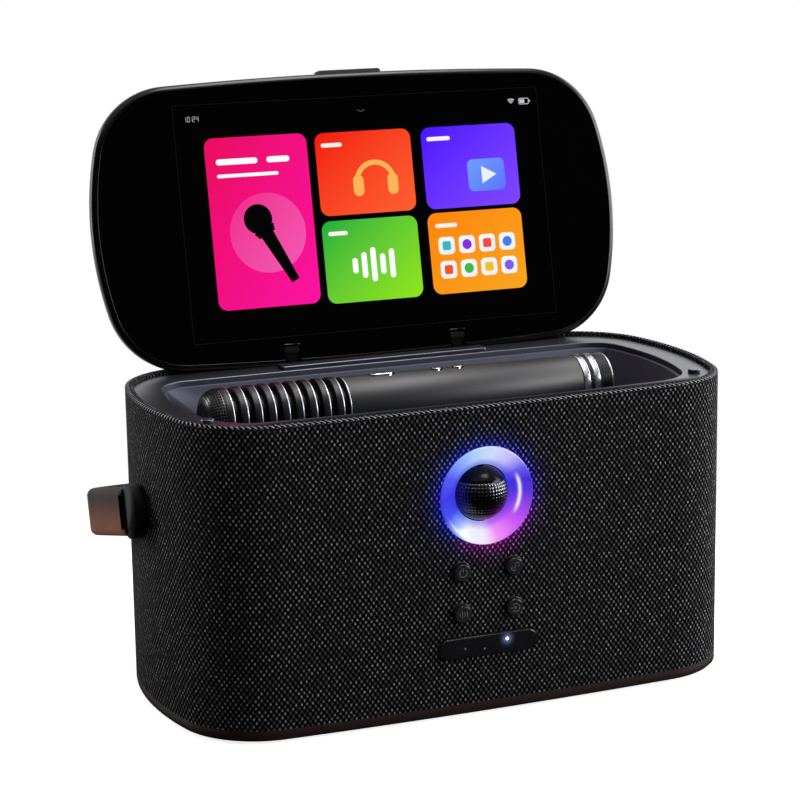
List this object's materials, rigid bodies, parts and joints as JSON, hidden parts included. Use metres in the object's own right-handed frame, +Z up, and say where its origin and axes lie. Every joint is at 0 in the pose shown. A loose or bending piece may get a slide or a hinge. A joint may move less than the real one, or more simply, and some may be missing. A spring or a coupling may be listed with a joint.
{
  "type": "karaoke machine with touch screen lid",
  "caption": "Portable karaoke loudspeaker with a flip-up touch screen lid, a microphone stored in its top, a mirror ball in a lit ring, push buttons and a leather carrying handle.",
  "frame": {"origin": "on the table, under the middle of the cabinet's plan", "axes": "+X to the right of someone facing the front, +Y to the back, +Z up"},
  "size_m": [0.3496, 0.2144, 0.3334],
  "materials": {
    "woven_fabric": "coarse woven speaker cloth, black with grey flecks",
    "shell_plastic": "moulded, matte",
    "base_plastic": "moulded, satin",
    "tray_plastic": "moulded, fine satin",
    "trim_plastic": "moulded, satin",
    "lid_plastic": "piano black",
    "cover_glass": "black-bordered touch glass, polished",
    "display": "lit screen with coloured tiles",
    "diffuser": "translucent, satin",
    "ball_mirror": "faceted, dark mirror",
    "button_plastic": "satin",
    "window_gloss": "gloss black",
    "rubber": "matte",
    "steel": "zinc plated",
    "magnet_iron": "black plated",
    "cone_paper": "pulp",
    "sink_aluminium": "extruded",
    "circuit_board": "solder resist",
    "cell_wrap": "shrink sleeve",
    "strap_leather": "brown, fine grain",
    "mic_enamel": "satin black",
    "mic_chrome": "polished",
    "foam": "open-cell foam"
  },
  "bodies": {
    "cabinet": {"base_pan": "base_plastic", "rubber_foot": "rubber", "base_screws": "steel", "battery_cells": "cell_wrap", "main_board": "circuit_board", "heat_sink": "sink_aluminium", "cabinet_shell": "shell_plastic", "fabric_sleeve": "woven_fabric", "top_tray": "tray_plastic", "rim_bumpers": "rubber", "hinge_cover": "tray_plastic", "hinge_brackets": "trim_plastic", "mic_saddles": "rubber", "light_ring": "diffuser", "ring_housing": "trim_plastic", "ring_board": "circuit_board", "ball_yoke": "steel", "control_frame": "trim_plastic", "indicator_window": "window_gloss", "control_board": "circuit_board", "button_switches": "trim_plastic", "woofer_basket_left": "steel", "woofer_basket_right": "steel", "woofer_cone_left": "cone_paper", "woofer_cone_right": "cone_paper", "woofer_magnet_left": "magnet_iron", "woofer_magnet_right": "magnet_iron", "radiator_frame": "trim_plastic", "radiator_diaphragm": "rubber", "port_panel": "trim_plastic", "port_sockets": "steel", "pivot_bosses": "trim_plastic", "pivot_bolts": "steel"},
    "lid": {"lid_shell": "lid_plastic", "cover_glass": "cover_glass", "display_panel": "display", "lid_board": "circuit_board", "lid_tab": "rubber", "hinge_pins": "steel"},
    "handle": {"handle_strap": "strap_leather", "handle_hub_left": "trim_plastic", "handle_hub_right": "trim_plastic"},
    "ball": {"mirror_ball": "ball_mirror", "ball_spindle": "steel"},
    "power_button": {"power_button": "button_plastic"},
    "pairing_button": {"pairing_button": "button_plastic"},
    "bass_button": {"bass_button": "button_plastic"},
    "source_button": {"source_button": "button_plastic"},
    "microphone": {"mic_barrel": "mic_enamel", "mic_grille": "mic_enamel", "mic_dome": "mic_enamel", "mic_foam": "foam", "mic_capsule": "sink_aluminium", "mic_trim_rings": "mic_chrome", "mic_tail": "mic_enamel", "mic_board": "circuit_board", "mic_battery": "cell_wrap"},
    "mic_power_key": {"mic_power_key": "mic_chrome"},
    "mic_echo_key": {"mic_echo_key": "mic_chrome"},
    "mic_volume_key": {"mic_volume_key": "mic_chrome"}
  },
  "joints": [
    {"name": "lid_hinge", "type": "hinge", "parent": "cabinet", "child": "lid", "pos_m": [0, 0.075, 0.1758], "axis": [-1, 0, 0], "range_deg": [-102, 0]},
    {"name": "handle_swing", "type": "hinge", "parent": "cabinet", "child": "handle", "pos_m": [0, 0, 0.112], "axis": [1, 0, 0], "range_deg": [-20, 45]},
    {"name": "ball_spin", "type": "hinge", "parent": "cabinet", "child": "ball", "pos_m": [0, -0.077, 0.122], "axis": [0, 0, 1], "continuous": true},
    {"name": "power_button_press", "type": "slide", "parent": "cabinet", "child": "power_button", "axis": [0, 1, 0], "range_m": [0, 0.0006], "stiffness_N_per_m": 1500},
    {"name": "pairing_button_press", "type": "slide", "parent": "cabinet", "child": "pairing_button", "axis": [0, 1, 0], "range_m": [0, 0.0006], "stiffness_N_per_m": 1500},
    {"name": "bass_button_press", "type": "slide", "parent": "cabinet", "child": "bass_button", "axis": [0, 1, 0], "range_m": [0, 0.0006], "stiffness_N_per_m": 1500},
    {"name": "source_button_press", "type": "slide", "parent": "cabinet", "child": "source_button", "axis": [0, 1, 0], "range_m": [0, 0.0006], "stiffness_N_per_m": 1500},
    {"name": "microphone_lift", "type": "slide", "parent": "cabinet", "child": "microphone", "axis": [0, 0, 1], "range_m": [0, 0.09]},
    {"name": "mic_power_key_press", "type": "slide", "parent": "microphone", "child": "mic_power_key", "axis": [0, 0, -1], "range_m": [0, 0.0005], "stiffness_N_per_m": 1500},
    {"name": "mic_echo_key_press", "type": "slide", "parent": "microphone", "child": "mic_echo_key", "axis": [0, 0, -1], "range_m": [0, 0.0005], "stiffness_N_per_m": 1500},
    {"name": "mic_volume_key_press", "type": "slide", "parent": "microphone", "child": "mic_volume_key", "axis": [0, 0, -1], "range_m": [0, 0.0005], "stiffness_N_per_m": 1500}
  ]
}
